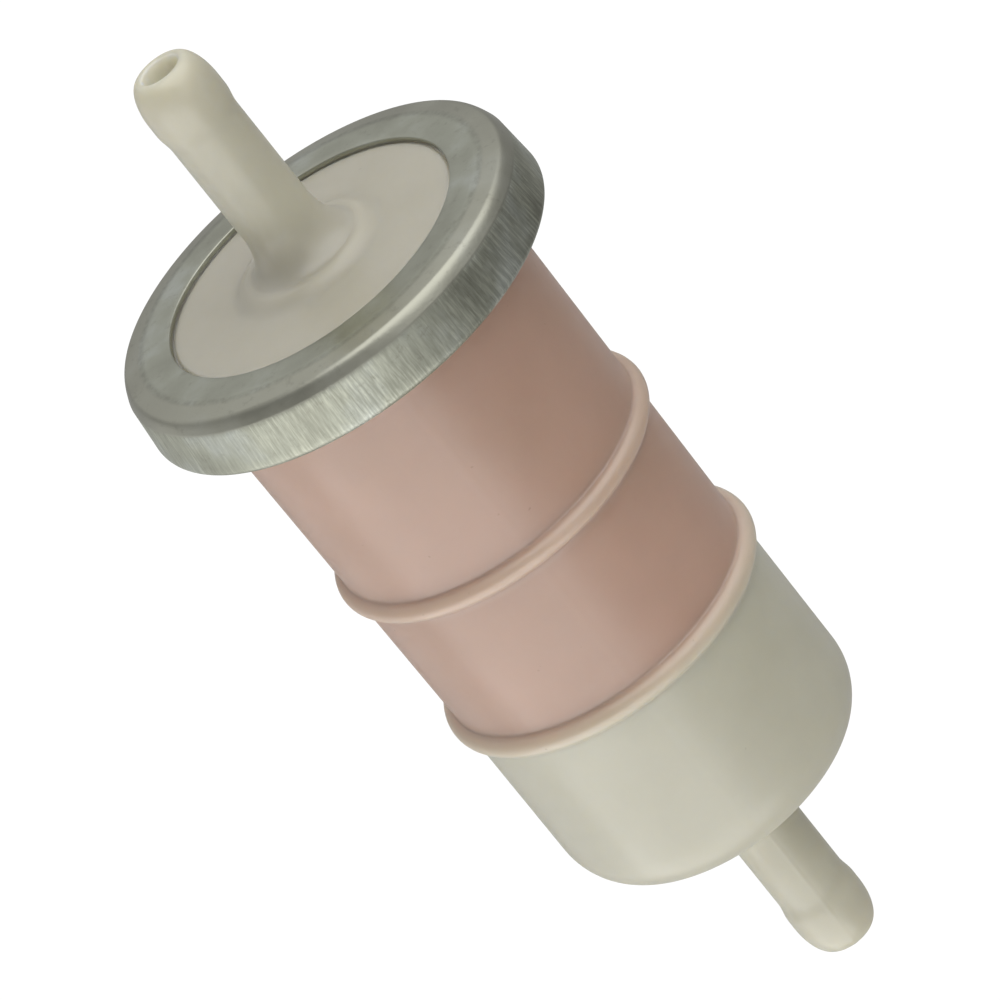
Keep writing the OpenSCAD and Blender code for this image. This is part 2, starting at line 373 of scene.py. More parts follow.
def cup_outline():
    """Down the outside from the flange, round the nozzle's tip and up the inside."""
    flange = [(plate_seat_r, joint_z - plate_seat_depth), (plate_seat_r, joint_z),
              (groove_in_r, joint_z), (groove_in_r, joint_z - groove_depth),
              (groove_out_r, joint_z - groove_depth), (groove_out_r, joint_z),
              (flange_r, joint_z)]
    flange += arc(flange_r - flange_round, cup_flange_z + flange_round, flange_round, 0, -90, 6)
    neck = arc(neck_r + neck_fillet, cup_flange_z - neck_fillet, neck_fillet, 90, 180, 6)
    upper = bead(wall_at(upper_bead_z), upper_bead_z, upper_bead_size, bead_top_fillet,
                 upper_bead_fillet)
    lower = bead(bowl_r, lower_bead_z, lower_bead_size, bead_top_fillet, lower_bead_fillet)
    side = neck + straight(neck[-1], upper[0], 16)[1:-1] + upper
    side += straight(upper[-1], lower[0], 16)[1:-1] + lower
    corner = oval(bowl_r - corner_w, bowl_bottom + corner_h, corner_w, corner_h, 0, -90, 24)
    side += straight(lower[-1], corner[0], 12)[1:-1] + corner
    fillet = arc(shaft_r + shaft_fillet, bowl_bottom - shaft_fillet, shaft_fillet, 90, 180, 8)
    lower_end = nozzle_end(cup_tip, -1)
    shaft = fillet + straight(fillet[-1], lower_end[0], 10)[1:-1] + lower_end
    inner_corner = oval(bowl_r - corner_w, bowl_bottom + corner_h, corner_w - wall,
                        corner_h - bowl_floor, -90, 0, 12)
    inside = [(bore_r, bowl_bottom + bowl_floor)] + inner_corner
    inside += [(bowl_r - wall, lower_bead_z), (neck_r - wall, joint_z - plate_seat_depth)]
    return flange + side + shaft + inside


print(len(cup_outline()), "points in the cup's outline")

# %% [markdown]
# ## The cover
#
# The cover is a shallow dome from which the nozzle grows on a flared foot. The foot starts
# with a low rolled edge, which catches one soft arc of light, and then sweeps up into the
# shaft like the mouth of a trumpet. Curves with two handles draw both. Where the ring's lip
# lies on the cover there is a fine groove, which gives the dark line inside the lip.

# %% Outline of the cover
cover_flange = 2.2
dome_rise = 0.45
foot_r, foot_height = 7.9, 4.8
roll_top_r, roll_rise = 5.4, 0.8
ring_opening_r = 14.2
shoulder_r = 1.5


def cover_outline():
    """From the bore along the underside, over the rim and the dome and up the nozzle."""
    dome_z = cover_top + dome_rise
    inner_r = shoulder_r - sheet
    under_z = cover_top - cover_flange / 2
    under = [(bore_r, under_z), (ring_opening_r - 2, under_z), (ring_opening_r - 1, joint_z)]
    rim = [(flange_r, joint_z)] + arc(flange_r - inner_r, cover_top - inner_r, inner_r, 0, 90, 8)
    groove = [(ring_opening_r + outward, cover_top - down)
              for outward, down in ((0.25, 0), (0.12, 0.22), (-0.12, 0.26), (-0.3, 0.06))]
    span = ring_opening_r - 0.45 - foot_r
    dome = [(foot_r + span * (1 - t), cover_top + dome_rise * math.sin(t * math.pi / 2))
            for t in np.linspace(0, 1, 17)]
    rolled = curve((foot_r, dome_z), (foot_r - 1.3, dome_z),
                   (roll_top_r + 0.95, dome_z + roll_rise), (roll_top_r, dome_z + roll_rise), 14)
    foot = curve(rolled[-1], (roll_top_r - 0.75, rolled[-1][1]),
                 (shaft_r + 0.1, dome_z + 2.1), (shaft_r, dome_z + foot_height))
    upper_end = nozzle_end(cover_tip, 1)
    shaft = straight(foot[-1], upper_end[0], 10)[1:-1]
    return under + rim + groove + dome + rolled[1:] + foot[1:] + shaft + upper_end


print(len(cover_outline()), "points in the cover's outline")

# %% [markdown]
# ## The ring
#
# The ring is bent sheet, so its outline runs along the outer skin and comes back along the
# inner one, a sheet's thickness away. The press has left its marks: a crease on the flat
# top, a slightly sloping band outside it, a soft shoulder, and a skirt that flares by a few
# tenths of a millimetre before it rolls in under the cup's flange. Such small departures
# from a flat disc are what makes it look like metal that was really bent.

# %% Outline of the crimped ring
ring_flare = 0.35
roll_r = 0.8
ring_lower_opening_r = 16.6
crease_r, crease_half, crease_depth = 17.2, 0.15, 0.035
band_r, band_drop = 18.8, 0.28
cut_edge_r = 0.12


def ring_outline():
    """Along the outer skin from the lip to the rolled edge and back inside."""
    top_c = (ring_r - ring_flare - shoulder_r, ring_top - shoulder_r)
    band = (band_r, ring_top - band_drop)
    turned_down = (ring_r - ring_flare, top_c[1])
    low_c = (ring_r - roll_r, ring_bottom + roll_r)
    lip = arc(ring_opening_r + cut_edge_r, ring_top - cut_edge_r, cut_edge_r, 180, 90, 4)
    skin = lip + straight(lip[-1], (crease_r - crease_half, ring_top), 6)[1:]
    crease_z = ring_top - crease_depth
    skin += [(crease_r, crease_z)] + straight((crease_r + crease_half, crease_z), band, 5)
    skin += curve(band, (band_r + 0.4, band[1] - 0.07),
                  (turned_down[0] - 0.28, turned_down[1] + 0.7), turned_down, 14)[1:]
    skin += straight(skin[-1], (ring_r, low_c[1]), 8)[1:-1]
    skin += arc(low_c[0], low_c[1], roll_r, 0, -90, 8)
    skin += [(ring_lower_opening_r, ring_bottom), (ring_lower_opening_r, ring_bottom + sheet)]
    inside = arc(low_c[0], low_c[1], roll_r - sheet, -90, 0, 5)
    inside += arc(top_c[0], top_c[1], shoulder_r - sheet, 0, 90, 8)
    return skin + inside + [(ring_opening_r, cover_top)]


print(len(ring_outline()), "points in the ring's outline")

# %% [markdown]
# ## Materials
#
# Every finish here is made of nodes that read Object coordinates. Because all pieces keep
# their objects at the origin, those coordinates are the filter's own frame in metres, so a
# colour can simply change with the height along the axis or with the distance from it. The
# helpers below keep each finish down to a few readable lines.

# %% Helpers for materials
def new_material(name):
    """A new material with its tree, its shader and the place on the object."""
    material = bpy.data.materials.new(name)
    material.use_nodes = True
    tree = material.node_tree
    shader = tree.nodes["Principled BSDF"]
    place = tree.nodes.new("ShaderNodeTexCoord").outputs["Object"]
    return material, tree, shader, place


def mapped(tree, vector, scale):
    """The vector with each of its axes scaled."""
    mapping = add_node(tree, "ShaderNodeMapping", Vector=vector, Scale=scale)
    return mapping.outputs[0]


def noise(tree, vector, scale, detail=3.0, rough=0.5):
    """A soft random value between 0 and 1."""
    node = add_node(tree, "ShaderNodeTexNoise", Vector=vector, Scale=scale, Detail=detail,
                    Roughness=rough)
    return node.outputs["Fac"]


def ramp(tree, value, stops):
    """A colour ramp; each stop is (position, colour)."""
    node = tree.nodes.new("ShaderNodeValToRGB")
    band = node.color_ramp.elements
    while len(band) < len(stops):
        band.new(0.5)
    for element, (position, colour) in zip(band, stops):
        element.position = position
        element.color = (*colour, 1.0)
    tree.links.new(value, node.inputs[0])
    return node.outputs[0]


def mix(tree, share, a, b, blend="MIX"):
    """A mix of two colours, each an output or (red, green, blue)."""
    node = tree.nodes.new("ShaderNodeMix")
    node.data_type = "RGBA"
    node.blend_type = blend
    feed(tree, node.inputs[0], share)
    for index, colour in ((6, a), (7, b)):
        plain = not isinstance(colour, bpy.types.NodeSocket)
        feed(tree, node.inputs[index], (*colour, 1.0) if plain else colour)
    return node.outputs[2]


def bump(tree, height, strength, distance_mm, normal=None):
    """Shades small relief of the given depth, on top of another one if there is any."""
    node = add_node(tree, "ShaderNodeBump", Height=height, Strength=strength,
                    Distance=distance_mm * MM)
    if normal is not None:
        tree.links.new(normal, node.inputs["Normal"])
    return node.outputs[0]


def map_range(tree, value, low, high, to_low=0.0, to_high=1.0):
    """A smooth step from to_low at low to to_high at high."""
    node = tree.nodes.new("ShaderNodeMapRange")
    node.interpolation_type = "SMOOTHSTEP"
    tree.links.new(value, node.inputs["Value"])
    for name, number in (("From Min", low), ("From Max", high), ("To Min", to_low),
                         ("To Max", to_high)):
        node.inputs[name].default_value = number
    return node.outputs[0]


def from_axis(tree, place):
    """The distance from the filter's axis."""
    return vector_node(tree, "LENGTH", vector_node(tree, "MULTIPLY", place, (1, 1, 0)))


# %% [markdown]
# ## Milky nylon
#
# Natural nylon is neither white nor clear: light goes a few millimetres into it, scatters and
# comes out again, so its shadows are soft and it takes on the colour of what lies behind.
# Subsurface scattering does the first part. A really clear wall would be slow to render and
# noisy, so the second part is painted: the cup's colour turns pink at the height of the
# element, and milky again on the beads, where the wall is thicker. Light is painted as well:
# the lower halves of the beads and the bores are painted lighter as painted light, and the
# cover over the element is painted darker, partly as the element showing through and partly
# as painted shade. Faint clouds, a few specks, an uneven gloss and a slightly wavy skin keep it
# from looking like a computer's plastic.

# %% Milky nylon
NYLON = (0.580, 0.560, 0.452)
# partly the element showing through and partly painted shade: the cover's darker tone over the
# element
OVER_PLATE_SEEN_AND_SHADED = (0.470, 0.446, 0.366)
# painted light: the lighter tone of the bores
PAINTED_BORE_LIGHT = (0.72, 0.71, 0.63)
PINK = (0.525, 0.348, 0.265)
LOWER_BEAD, UPPER_BEAD = (0.565, 0.500, 0.405), (0.555, 0.455, 0.372)


def nylon_finish(tree, shader, place, colour):
    """Sets what both nylon mouldings share: cloudiness, satin gloss and a moulded skin."""
    cloud = noise(tree, place, 90, 4, 0.55)
    tint = ramp(tree, cloud, [(0.3, (0.94, 0.935, 0.915)), (0.7, (1.03, 1.03, 1.04))])
    shade = mix(tree, 1.0, colour, tint, "MULTIPLY")
    dust = noise(tree, place, 1300, 1)
    speck = ramp(tree, dust, [(0.79, (1, 1, 1)), (0.85, (0.78, 0.76, 0.70))])
    shade = mix(tree, 1.0, shade, speck, "MULTIPLY")
    tree.links.new(shade, shader.inputs["Base Color"])
    gloss = map_range(tree, noise(tree, place, 260, 3), 0.3, 0.7, 0.29, 0.36)
    tree.links.new(gloss, shader.inputs["Roughness"])
    shader.inputs["IOR"].default_value = 1.75
    shader.inputs["Subsurface Weight"].default_value = 1.0
    shader.inputs["Subsurface Radius"].default_value = (1.0, 0.9, 0.7)
    shader.inputs["Subsurface Scale"].default_value = 3.0 * MM
    skin = bump(tree, noise(tree, place, 420, 2), 0.25, 0.03)
    waves = bump(tree, noise(tree, place, 70, 2), 0.35, 0.12, skin)
    tree.links.new(waves, shader.inputs["Normal"])


def paint_bore_light(tree, place, colour):
    """Paints the bore lighter: painted light, standing in for the light that comes through the
    milky wall all round it.
    """
    near, far = (bore_r + 0.02) * MM, (bore_r + 0.18) * MM
    inside = map_range(tree, from_axis(tree, place), near, far, 1.0, 0.0)
    return mix(tree, inside, colour, PAINTED_BORE_LIGHT)


def cover_nylon():
    """The cover's nylon, painted darker where it lies over the element than in its free nozzle:
    partly the element showing through, partly painted shade.
    """
    material, tree, shader, place = new_material("milky nylon cover")
    height = add_node(tree, "ShaderNodeSeparateXYZ", Vector=place).outputs["Z"]
    free = map_range(tree, height, ring_top * MM, (ring_top + 7.7) * MM)
    # painted shade over the element, fading into the plain nylon of the nozzle
    colour = mix(tree, free, OVER_PLATE_SEEN_AND_SHADED, NYLON)
    nylon_finish(tree, shader, place, paint_bore_light(tree, place, colour))
    return material


def cup_nylon():
    """The cup's nylon, with the pink element showing through behind its wall."""
    material, tree, shader, place = new_material("milky nylon cup")
    height = add_node(tree, "ShaderNodeSeparateXYZ", Vector=place).outputs["Z"]
    behind = map_range(tree, height, -0.6 * MM, 2.4 * MM)
    darker, lighter = [tuple(share * c for c in PINK) for share in (0.96, 1.04)]
    pink = ramp(tree, noise(tree, place, 60, 3), [(0.3, darker), (0.7, lighter)])
    for bead_z, milky in ((lower_bead_z, LOWER_BEAD), (upper_bead_z, UPPER_BEAD)):
        above = math_node(tree, "SUBTRACT", height, bead_z * MM)
        away = math_node(tree, "ABSOLUTE", above)
        on_bead = map_range(tree, away, 0.5 * MM, 1.9 * MM, 0.6, 0.0)
        # painted light: the lower half of each bead and the wall just under it are painted up to a
        # tenth lighter
        glow = map_range(tree, above, -0.9 * MM, 0.5 * MM, 1.10, 1.0)
        milky = mix(tree, 1.0, milky, glow, "MULTIPLY")
        pink = mix(tree, on_bead, pink, milky)
    colour = mix(tree, behind, NYLON, pink)
    nylon_finish(tree, shader, place, paint_bore_light(tree, place, colour))
    return material


finishes = {"nylon_cup": cup_nylon(), "nylon_cover": cover_nylon()}
print("nylon finishes:", ", ".join(finishes))

# %% [markdown]
# ## Plated steel
#
# The ring is thin steel with a dull plating. On its flat top the plating is cloudy and a
# little stained. A thin dark line of painted shade runs along the crease, and the band outside
# it, which slopes away, carries a warmer, slightly darker painted reflection. Its skirt was drawn
# through a die, so it carries fine scratches along the axis. Those are a noise that is stretched
# along Z: the two other axes are scaled up sixty times more. They change both the colour and the
# relief, each only a little, because one strong effect alone looks painted on.

# %% Plated steel
def plated_steel():
    """Dull plating: cloudy on the flat, with painted shade in the crease, a painted reflection on
    the sloping band and axial scratches outside.
    """
    material, tree, shader, place = new_material("dull plated steel")
    height = add_node(tree, "ShaderNodeSeparateXYZ", Vector=place).outputs["Z"]
    radius = from_axis(tree, place)
    skirt = map_range(tree, height, (ring_top - 1.7) * MM, (ring_top - 1.4) * MM, 1, 0)
    cloud = noise(tree, place, 170, 4, 0.55)
    shade = ramp(tree, cloud, [(0.32, (0.36, 0.365, 0.30)), (0.5, (0.42, 0.43, 0.36)),
                               (0.68, (0.50, 0.52, 0.475))])
    # painted reflection: the band outside the crease, which slopes away, is painted a warmer and
    # slightly darker tone
    band = map_range(tree, radius, crease_r * MM, (crease_r + 0.4) * MM)
    band = math_node(tree, "MULTIPLY", band, math_node(tree, "SUBTRACT", 1.0, skirt))
    shade = mix(tree, math_node(tree, "MULTIPLY", band, 0.7), shade, (0.40, 0.395, 0.33))
    # painted shade: a thin, broken dark line along the crease
    broken_line = noise(tree, place, 1500, 3, 0.7)
    from_crease = math_node(tree, "ABSOLUTE", math_node(tree, "SUBTRACT", radius, crease_r * MM))
    near = map_range(tree, from_crease, 0.02 * MM, 0.5 * MM, 1.0, 0.0)
    crease_shade = math_node(tree, "MULTIPLY", near, map_range(tree, broken_line, 0.3, 0.7, 0.25, 1.0))
    shade = mix(tree, math_node(tree, "MULTIPLY", crease_shade, 0.5), shade, (0.22, 0.215, 0.18))
    stain = map_range(tree, noise(tree, place, 900, 4, 0.7), 0.56, 0.72, 0.0, 0.4)
    shade = mix(tree, stain, shade, (0.26, 0.255, 0.21))
    scratch = noise(tree, mapped(tree, place, (4800, 4800, 80)), 1, 3, 0.65)
    marks = ramp(tree, scratch, [(0.36, (0.78, 0.78, 0.76)), (0.5, (0.97, 0.97, 0.96)),
                                 (0.66, (1.30, 1.30, 1.28))])
    uneven = map_range(tree, noise(tree, place, 110, 2), 0.3, 0.6, 0.45, 1.0)
    patch = math_node(tree, "MULTIPLY", skirt, uneven)
    shade = mix(tree, patch, shade, mix(tree, 1.0, shade, marks, "MULTIPLY"))
    tree.links.new(shade, shader.inputs["Base Color"])
    shader.inputs["Metallic"].default_value = 1.0
    rough = map_range(tree, cloud, 0.3, 0.7, 0.31, 0.42)
    rough = math_node(tree, "MULTIPLY_ADD", skirt, 0.12, rough)
    tree.links.new(rough, shader.inputs["Roughness"])
    grain = bump(tree, noise(tree, place, 2600, 2), 0.6, 0.016)
    scored = bump(tree, math_node(tree, "MULTIPLY", scratch, skirt), 0.35, 0.012, grain)
    dents = bump(tree, noise(tree, place, 420, 3), 0.35, 0.04, scored)
    tree.links.new(dents, shader.inputs["Normal"])
    return material


finishes["plated_steel"] = plated_steel()
print("plated steel:", len(finishes["plated_steel"].node_tree.nodes), "nodes")

# %% [markdown]
# ## Finishes of the hidden pieces
#
# Nobody sees the element until the filter is cut open, but a reader may take the model apart.
# So rubber, white plastic, adhesive, paper and tinplate each get a finish of their own. They
# share one recipe, in which a single noise drives the colour, the gloss and the relief. What
# changes between them is the colour, the roughness and how coarse the grain is.

# %% Materials of the hidden pieces
def plain_finish(name, colour, roughness, metallic=0.0, scale=500, depth_mm=0.03):
    """A simple finish with its own slight variation of colour, gloss and surface."""
    material, tree, shader, place = new_material(name)
    grain = noise(tree, place, scale, 4)
    dark = tuple(0.86 * c for c in colour)
    tree.links.new(ramp(tree, grain, [(0.3, dark), (0.7, colour)]), shader.inputs["Base Color"])
    low, high = 0.85 * roughness, min(1.0, 1.15 * roughness)
    tree.links.new(map_range(tree, grain, 0.3, 0.7, low, high), shader.inputs["Roughness"])
    shader.inputs["Metallic"].default_value = metallic
    tree.links.new(bump(tree, grain, 0.4, depth_mm), shader.inputs["Normal"])
    return material


finishes.update({
    "rubber": plain_finish("black rubber", (0.03, 0.03, 0.03), 0.75),
    "white_plastic": plain_finish("white moulded plastic", (0.78, 0.77, 0.71), 0.45),
    "adhesive": plain_finish("amber adhesive", (0.60, 0.42, 0.16), 0.3, scale=250, depth_mm=0.08),
    "filter_paper": plain_finish("pink filter paper", (0.72, 0.36, 0.30), 0.9, scale=1500),
    "tinplate": plain_finish("tinplate strip", (0.62, 0.63, 0.62), 0.35, metallic=1.0),
})
print("all finishes:", ", ".join(finishes))

# %% [markdown]
# ## Turning the outer pieces
#
# Outlines, tree and finishes come together here. The number of steps round the axis is high,
# because the silhouette of a round piece shows its corners first. Each piece is then handed
# over: it rides on the filter's only body and stands in for the CAD node of the same part.

# %% Make the cup, the cover and the ring
replaced = set()


def hand_over(piece, node):
    """Says what a finished piece rides on and replaces, and prints its size."""
    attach(piece, "root")
    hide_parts(node)
    replaced.add(node)
    low, high = [[round(f(v.co[i] for v in piece.data.vertices) / MM, 2) for i in range(3)]
                 for f in (min, max)]
    print(piece.name, len(piece.data.polygons), "faces, from", low, "to", high)


cup = turned_piece("cup_moulding", cup_outline(), finishes["nylon_cup"], 288, ridge_mm=0.03)
cover = turned_piece("cover_moulding", cover_outline(), finishes["nylon_cover"], 256)
ring = turned_piece("crimped_ring", ring_outline(), finishes["plated_steel"], 360)
hand_over(cup, "housing_cup")
hand_over(cover, "cover")
hand_over(ring, "crimp_ring")

# %% [markdown]
# ## The pleated paper
#
# The real element is one strip of paper, folded back and forth and closed into a star. It
# could be modelled fold by fold, but the folds follow a rule, so nodes can do it: a circle
# is pushed in and out by a wave as often as there are pleats, and the cross-section of the
# sheet is swept along it. The wave is the arcsine of a slightly shrunk cosine. That is a
# zigzag whose tips are a little rounded, as folded paper is, and the shrinking sets how
# crisp the folds are. A little noise takes away the perfect regularity.

# %% Build the pleating tree
def pleating_tree():
    """Sweeps the cross-section of a sheet along a pleated path."""
    tree, start, names = new_tree("Pleat a sheet", {
        "Pleats": "Int", "Steps per pleat": "Int", "Inner radius": "Float",
        "Outer radius": "Float", "Crispness": "Float", "Wobble": "Float",
        "Material": "Material"})
    steps = math_node(tree, "MULTIPLY", start["Pleats"], start["Steps per pleat"])
    circle = add_node(tree, "GeometryNodeCurvePrimitiveCircle", Resolution=steps, Radius=1.0)
    place = add_node(tree, "GeometryNodeInputPosition").outputs[0]
    parts = add_node(tree, "ShaderNodeSeparateXYZ", Vector=place)
    turn = math_node(tree, "ARCTAN2", parts.outputs["Y"], parts.outputs["X"])
    wave = math_node(tree, "COSINE", math_node(tree, "MULTIPLY", turn, start["Pleats"]))
    zigzag = math_node(tree, "ARCSINE", math_node(tree, "MULTIPLY", wave, start["Crispness"]))
    zigzag = math_node(tree, "DIVIDE", zigzag, math_node(tree, "ARCSINE", start["Crispness"]))
    both = math_node(tree, "ADD", start["Outer radius"], start["Inner radius"])
    depth = math_node(tree, "SUBTRACT", start["Outer radius"], start["Inner radius"])
    radius = math_node(tree, "MULTIPLY", 0.5, math_node(tree, "MULTIPLY_ADD", depth, zigzag, both))
    path = add_node(tree, "GeometryNodeSetPosition", Geometry=circle.outputs[0],
                    Position=scaled(tree, place, radius))
    outline = add_node(tree, "GeometryNodeMeshToCurve", Mesh=start["Geometry"])
    sheet_mesh = add_node(tree, "GeometryNodeCurveToMesh", Curve=path.outputs[0],
                          Profile_Curve=outline.outputs[0])
    rough = add_node(tree, "ShaderNodeTexNoise", Scale=180.0, Detail=2.0)
    centred = vector_node(tree, "SUBTRACT", rough.outputs["Color"], (0.5, 0.5, 0.5))
    across = vector_node(tree, "MULTIPLY", centred, (1, 1, 0))
    worn = add_node(tree, "GeometryNodeSetPosition", Geometry=sheet_mesh.outputs[0],
                    Offset=scaled(tree, across, start["Wobble"]))
    finish_tree(tree, worn.outputs[0], start["Material"])
    return tree, names


pleat_tree, pleat_inputs = pleating_tree()
print("pleating tree inputs:", list(pleat_inputs))

# %% [markdown]
# The paper's height and its outer radius come from the CAD node, so the folds end where the
# adhesive holds them. The section is a thin upright rectangle, cut into a dozen steps so that
# the noise can bend it. Twenty steps per pleat are enough to round the tips and keep the
# flanks straight.

# %% Fold the paper
pleats = 32
paper_t = 0.4
pleat_inner_r = 5.8
paper_low, paper_high = box_mm("element_paper")


def pleated_paper():
    """The whole strip, folded into a star and closed."""
    low, high = paper_low[2], paper_high[2]
    side = straight((paper_t / 2, high), (paper_t / 2, low), 12)
    section = side + [(-r, z) for r, z in reversed(side)]
    piece = outline_piece("pleated_paper", section)
    bake(piece, pleat_tree, pleat_inputs, {
        "Pleats": pleats, "Steps per pleat": 20, "Crispness": 0.985, "Wobble": 0.25 * MM,
        "Inner radius": (pleat_inner_r + paper_t / 2) * MM,
        "Outer radius": (paper_high[0] - 1.1 * paper_t) * MM,
        "Material": finishes["filter_paper"]}, sharp_deg=50)
    return piece


paper = pleated_paper()
hand_over(paper, "element_paper")

# %% [markdown]
# ## Perforations and ribs
#
# Two more pieces follow a rule round the axis: the core tube is drilled with staggered rows
# of holes, and six low ribs stand on the cup's inner wall to keep the element central. Both
# start from rows of points, whose turn and height are worked out from each point's number.
# The core puts a drill on every point and subtracts them all at once, and the ribs put a
# copy of one rib there.

# %% Build the trees for rows of holes and ribs
def rows_of_points(tree, rows, per_row, radius, first, spacing, start_turn):
    """Points in rows round the axis, every other row staggered, and the turn of each."""
    count = math_node(tree, "MULTIPLY", rows, per_row)
    points = add_node(tree, "GeometryNodeMeshLine", Count=count)
    index = add_node(tree, "GeometryNodeInputIndex").outputs[0]
    row = math_node(tree, "FLOOR", math_node(tree, "DIVIDE", index, per_row))
    odd = math_node(tree, "MODULO", row, 2.0)
    number = math_node(tree, "MULTIPLY_ADD", odd, 0.5, index)
    step = math_node(tree, "DIVIDE", math.tau, per_row)
    turn = math_node(tree, "MULTIPLY_ADD", number, step, start_turn)
    x = math_node(tree, "MULTIPLY", math_node(tree, "COSINE", turn), radius)
    y = math_node(tree, "MULTIPLY", math_node(tree, "SINE", turn), radius)
    z = math_node(tree, "MULTIPLY_ADD", row, spacing, first)
    place = add_node(tree, "ShaderNodeCombineXYZ", X=x, Y=y, Z=z)
    placed = add_node(tree, "GeometryNodeSetPosition", Geometry=points.outputs[0],
                      Position=place.outputs[0])
    return placed.outputs[0], turn


drill_length = 3.0


def perforating_tree():
    """Drills staggered rows of round holes into a tube."""
    tree, start, names = new_tree("Perforate a tube", {
        "Rows": "Int", "Holes per row": "Int", "Wall radius": "Float", "First row": "Float",
        "Row spacing": "Float", "Hole radius": "Float", "Material": "Material"})
    points, turn = rows_of_points(tree, start["Rows"], start["Holes per row"],
                                  start["Wall radius"], start["First row"],
                                  start["Row spacing"], 0.0)
    drill = add_node(tree, "GeometryNodeMeshCylinder", Vertices=24, Radius=start["Hole radius"],
                     Depth=drill_length * MM)
    aim = add_node(tree, "ShaderNodeCombineXYZ", Y=math.pi / 2, Z=turn)
    drills = add_node(tree, "GeometryNodeInstanceOnPoints", Points=points,
                      Instance=drill.outputs[0], Rotation=aim.outputs[0])
    solid = add_node(tree, "GeometryNodeRealizeInstances", Geometry=drills.outputs[0])
    drilled = add_node(tree, "GeometryNodeMeshBoolean", {"operation": "DIFFERENCE"},
                       Mesh_1=start["Geometry"], Mesh_2=solid.outputs[0])
    finish_tree(tree, drilled.outputs[0], start["Material"])
    return tree, names


def ribbing_tree():
    """Sets copies of one rib round the axis; the input is the rib's side outline."""
    tree, start, names = new_tree("Ribs round the axis", {
        "Ribs": "Int", "First turn": "Float", "Width": "Float", "Material": "Material"})
    points, turn = rows_of_points(tree, 1, start["Ribs"], 0.0, 0.0, 0.0, start["First turn"])
    half = math_node(tree, "MULTIPLY", start["Width"], 0.5)
    near = add_node(tree, "ShaderNodeCombineXYZ", Y=math_node(tree, "MULTIPLY", half, -1.0))
    far = add_node(tree, "ShaderNodeCombineXYZ", Y=half)
    width = add_node(tree, "GeometryNodeCurvePrimitiveLine", Start=near.outputs[0],
                     End=far.outputs[0])
    outline = add_node(tree, "GeometryNodeMeshToCurve", Mesh=start["Geometry"])
    rib = add_node(tree, "GeometryNodeCurveToMesh", Curve=width.outputs[0],
                   Profile_Curve=outline.outputs[0], Fill_Caps=True)
    aim = add_node(tree, "ShaderNodeCombineXYZ", Z=turn)
    ribs = add_node(tree, "GeometryNodeInstanceOnPoints", Points=points,
                    Instance=rib.outputs[0], Rotation=aim.outputs[0])
    finish_tree(tree, ribs.outputs[0], start["Material"])
    return tree, names


drill_tree, drill_inputs = perforating_tree()
rib_tree, rib_inputs = ribbing_tree()
print("perforating tree inputs:", list(drill_inputs))
print("ribbing tree inputs:", list(rib_inputs))

# %% [markdown]
# The core is first turned as a plain tube by the same tree as the cup, and its baked mesh is
# the input of the drilling tree. The ribs start from a side outline that a short line sweeps
# to their width, with caps at both ends. They belong to the cup's moulding, so they replace
# the same CAD node as the cup and wear the same nylon.

# %% Make the core and the ribs
core_wall = 0.5
core_low, core_high = box_mm("element_core")


def perforated_core():
    """The tube inside the pleats, with its staggered holes."""
    low, high, outer_r = core_low[2], core_high[2], core_high[0]
    inner_r = outer_r - core_wall
    rows, margin = 8, 4.5
    tube = [(outer_r, low), (outer_r, high), (inner_r, high), (inner_r, low)]
    piece = turned_piece("perforated_core", tube, finishes["white_plastic"], 96)
    bake(piece, drill_tree, drill_inputs, {
        "Rows": rows, "Holes per row": 8, "Wall radius": (outer_r - core_wall / 2) * MM,
        "First row": (low + margin) * MM, "Hole radius": 1.1 * MM,
        "Row spacing": (high - low - 2 * margin) / (rows - 1) * MM,
        "Material": finishes["white_plastic"]})
    return piece


def centring_ribs():
    """Six low ribs on the cup's inner wall, under the element."""
    inner_r, low, high = 13.2, -1.0, 3.0
    foot_low_r, foot_high_r = bowl_r - wall, wall_at(high) - wall
    outline = [(foot_low_r, low), (inner_r + 0.1, low), (inner_r, low + 0.5)]
    outline += [(inner_r, high - 0.6), (inner_r + 0.2, high), (foot_high_r, high)]
    piece = outline_piece("centring_ribs", outline)
    bake(piece, rib_tree, rib_inputs, {
        "Ribs": 6, "First turn": math.radians(30), "Width": 1 * MM,
        "Material": finishes["nylon_cup"]})
    return piece


hand_over(perforated_core(), "element_core")
hand_over(centring_ribs(), "housing_cup")

# %% [markdown]
# ## The other pieces inside
#
# The remaining CAD nodes already have the right shape, so they only get their finishes. Each
# slot is linked to the object instead of the mesh, which leaves the CAD mesh as it was.

# %% Dress the CAD nodes that stay
for entry in frame["record"]["subparts"]:
    if entry["node"] in replaced:
        continue
    node = nodes[entry["node"]]
    for slot in node.material_slots:
        slot.link = "OBJECT"
        slot.material = finishes[entry["material_slot"]]
    print(entry["node"], "->", entry["material_slot"])

# %% [markdown]
# ## The camera
#
# The filter lies across the picture, but the model stands upright, so the camera is rolled
# instead. Its place is worked out from an elevation, a roll and a distance. The lens is long
# for so small a thing, which keeps the two ends nearly the same size, as a packshot does.

# %% The camera
view_elevation = 27.39
view_roll = 38.7
camera_distance = 0.700
aim_height = ring_top - 29.245
aim_side = -0.247
lens_mm, sensor_mm = 295.3, 36.0


